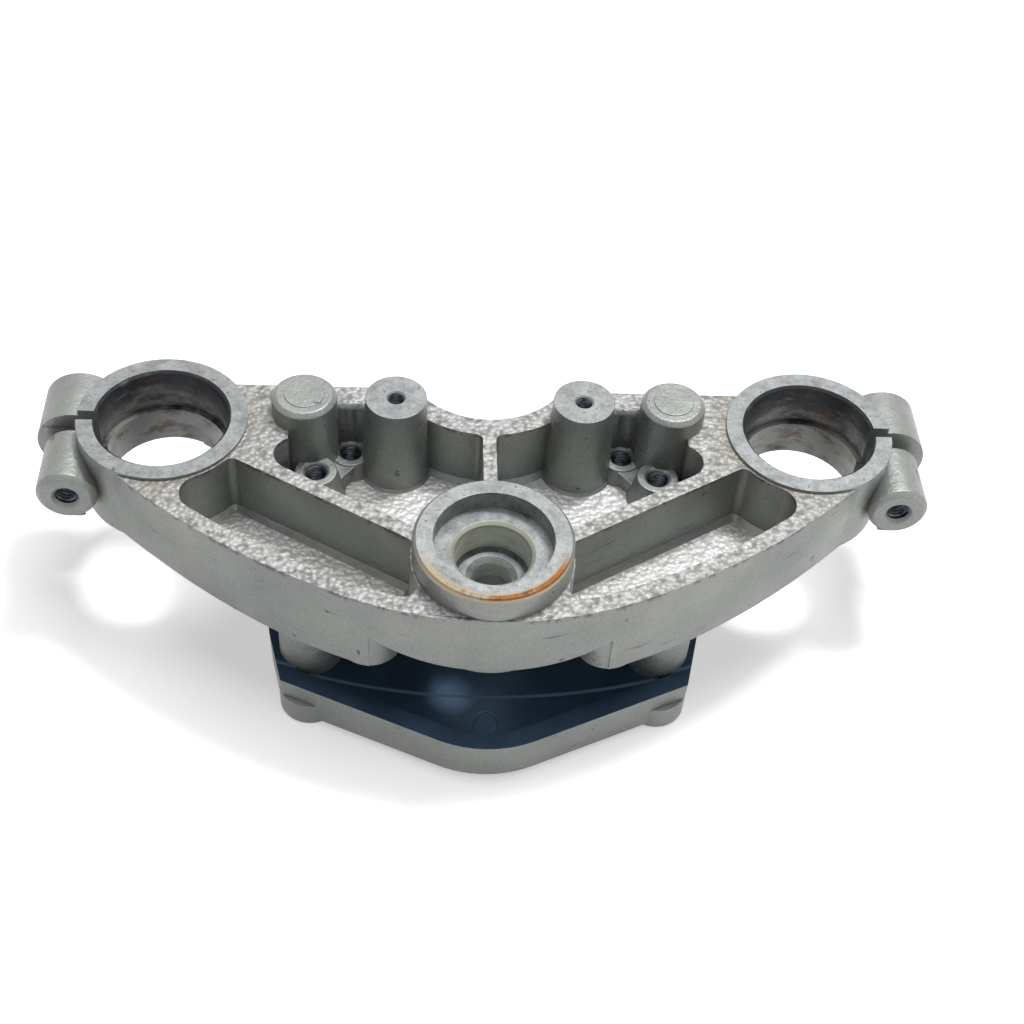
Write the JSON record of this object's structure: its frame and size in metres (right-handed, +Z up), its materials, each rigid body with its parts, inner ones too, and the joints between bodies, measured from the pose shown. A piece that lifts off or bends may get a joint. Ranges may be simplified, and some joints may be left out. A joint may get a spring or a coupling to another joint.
{
  "type": "motorcycle upper fork bridge",
  "caption": "Cast aluminium upper fork bridge that clamps two fork tubes, takes the steering stem in a stepped boss, and has tapped posts and a raised platform.",
  "frame": {"origin": "on the steering-stem axis, at the height of the machined faces of the two fork collars", "axes": "+X runs from one fork collar to the other, +Y away from the nose to the rear, +Z up as the part stands on its platform, which is downward on the motorcycle"},
  "size_m": [0.2864, 0.1155, 0.074],
  "materials": {
    "cast_aluminium": "as cast, bead-like crinkled top faces, satin walls, machined collar, boss and post faces"
  },
  "bodies": {
    "root": {"fork_bridge": "cast_aluminium"}
  },
  "joints": []
}
